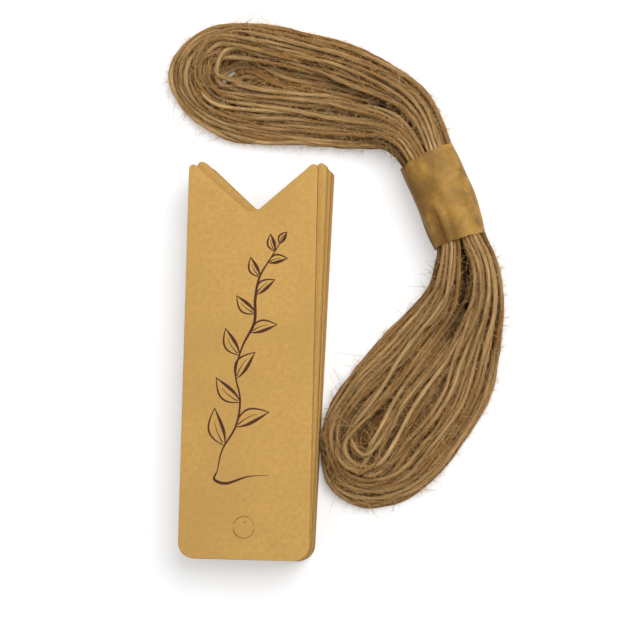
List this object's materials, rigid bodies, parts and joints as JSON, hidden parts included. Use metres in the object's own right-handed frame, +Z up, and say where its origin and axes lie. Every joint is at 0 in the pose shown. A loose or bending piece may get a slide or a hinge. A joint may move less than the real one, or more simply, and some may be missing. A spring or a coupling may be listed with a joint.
{
  "type": "kraft paper gift tags with twine",
  "caption": "Pile of swallow-tail kraft card gift tags with die-cut string holes, beside a hank of jute twine held at its waist by a paper band.",
  "frame": {"origin": "on the table, under the middle of the pile's top tag", "axes": "+Z up from the table; +Y along the tags, from the string hole at the foot towards the notch; +X towards the hank"},
  "size_m": [0.0807, 0.125, 0.012],
  "materials": {
    "kraft_card": "uncoated, fine fibres and specks",
    "jute_twine": "single-ply, hairy, matt",
    "kraft_paper": "thin, uncoated, creased",
    "glue": "dried, slightly glossy",
    "ink": "matt print"
  },
  "bodies": {
    "bottom_card": {"tag_01": "kraft_card", "hole_disc_01": "kraft_card"},
    "card_02": {"tag_02": "kraft_card", "hole_disc_02": "kraft_card"},
    "card_03": {"tag_03": "kraft_card", "hole_disc_03": "kraft_card"},
    "card_04": {"tag_04": "kraft_card", "hole_disc_04": "kraft_card"},
    "card_05": {"tag_05": "kraft_card", "hole_disc_05": "kraft_card"},
    "card_06": {"tag_06": "kraft_card", "hole_disc_06": "kraft_card"},
    "card_07": {"tag_07": "kraft_card", "hole_disc_07": "kraft_card"},
    "card_08": {"tag_08": "kraft_card", "hole_disc_08": "kraft_card"},
    "card_09": {"tag_09": "kraft_card", "hole_disc_09": "kraft_card"},
    "card_10": {"tag_10": "kraft_card", "hole_disc_10": "kraft_card"},
    "card_11": {"tag_11": "kraft_card", "hole_disc_11": "kraft_card"},
    "card_12": {"tag_12": "kraft_card", "hole_disc_12": "kraft_card"},
    "card_13": {"tag_13": "kraft_card", "hole_disc_13": "kraft_card"},
    "card_14": {"tag_14": "kraft_card", "hole_disc_14": "kraft_card"},
    "card_15": {"tag_15": "kraft_card", "hole_disc_15": "kraft_card"},
    "card_16": {"tag_16": "kraft_card", "hole_disc_16": "kraft_card"},
    "card_17": {"tag_17": "kraft_card", "hole_disc_17": "kraft_card"},
    "card_18": {"tag_18": "kraft_card", "hole_disc_18": "kraft_card"},
    "card_19": {"tag_19": "kraft_card", "hole_disc_19": "kraft_card"},
    "top_card": {"tag_20": "kraft_card"},
    "punched_disc": {"hole_disc_20": "kraft_card"},
    "twine": {"twine_hank": "jute_twine"},
    "band": {"paper_band": "kraft_paper", "band_glue_line": "glue"}
  },
  "joints": [
    {"name": "draw_tag_02", "type": "slide", "parent": "bottom_card", "child": "card_02", "axis": [-0.0272, -0.9996, 0], "range_m": [0, 0.095]},
    {"name": "draw_tag_03", "type": "slide", "parent": "bottom_card", "child": "card_03", "axis": [-0.0263, -0.9997, 0], "range_m": [0, 0.095]},
    {"name": "draw_tag_04", "type": "slide", "parent": "bottom_card", "child": "card_04", "axis": [-0.0297, -0.9996, 0], "range_m": [0, 0.095]},
    {"name": "draw_tag_05", "type": "slide", "parent": "bottom_card", "child": "card_05", "axis": [-0.0284, -0.9996, 0], "range_m": [0, 0.095]},
    {"name": "draw_tag_06", "type": "slide", "parent": "bottom_card", "child": "card_06", "axis": [-0.0258, -0.9997, 0], "range_m": [0, 0.095]},
    {"name": "draw_tag_07", "type": "slide", "parent": "bottom_card", "child": "card_07", "axis": [-0.0288, -0.9996, 0], "range_m": [0, 0.095]},
    {"name": "draw_tag_08", "type": "slide", "parent": "bottom_card", "child": "card_08", "axis": [-0.0294, -0.9996, 0], "range_m": [0, 0.095]},
    {"name": "draw_tag_09", "type": "slide", "parent": "bottom_card", "child": "card_09", "axis": [-0.0261, -0.9997, 0], "range_m": [0, 0.095]},
    {"name": "draw_tag_10", "type": "slide", "parent": "bottom_card", "child": "card_10", "axis": [-0.0171, -0.9999, 0], "range_m": [0, 0.095]},
    {"name": "draw_tag_11", "type": "slide", "parent": "bottom_card", "child": "card_11", "axis": [-0.0195, -0.9998, 0], "range_m": [0, 0.095]},
    {"name": "draw_tag_12", "type": "slide", "parent": "bottom_card", "child": "card_12", "axis": [-0.0164, -0.9999, 0], "range_m": [0, 0.095]},
    {"name": "draw_tag_13", "type": "slide", "parent": "bottom_card", "child": "card_13", "axis": [-0.0161, -0.9999, 0], "range_m": [0, 0.095]},
    {"name": "draw_tag_14", "type": "slide", "parent": "bottom_card", "child": "card_14", "axis": [-0.0194, -0.9998, 0], "range_m": [0, 0.095]},
    {"name": "draw_tag_15", "type": "slide", "parent": "bottom_card", "child": "card_15", "axis": [-0.0176, -0.9998, 0], "range_m": [0, 0.095]},
    {"name": "draw_tag_16", "type": "slide", "parent": "bottom_card", "child": "card_16", "axis": [-0.0154, -0.9999, 0], "range_m": [0, 0.095]},
    {"name": "draw_tag_17", "type": "slide", "parent": "bottom_card", "child": "card_17", "axis": [-0.0186, -0.9998, 0], "range_m": [0, 0.095]},
    {"name": "draw_tag_18", "type": "slide", "parent": "bottom_card", "child": "card_18", "axis": [-0.0013, -1, 0], "range_m": [0, 0.095]},
    {"name": "draw_tag_19", "type": "slide", "parent": "bottom_card", "child": "card_19", "axis": [0.002, -1, 0], "range_m": [0, 0.095]},
    {"name": "draw_tag_20", "type": "slide", "parent": "bottom_card", "child": "top_card", "axis": [0, -1, 0], "range_m": [0, 0.095]},
    {"name": "push_out_disc", "type": "slide", "parent": "top_card", "child": "punched_disc", "axis": [0, 0, 1], "range_m": [0, 0.003]},
    {"name": "lift_hank", "type": "slide", "parent": "bottom_card", "child": "twine", "axis": [0, 0, 1], "range_m": [0, 0.03]},
    {"name": "slide_band", "type": "slide", "parent": "twine", "child": "band", "axis": [0.402, -0.9157, 0], "range_m": [-0.0015, 0.0015]}
  ]
}
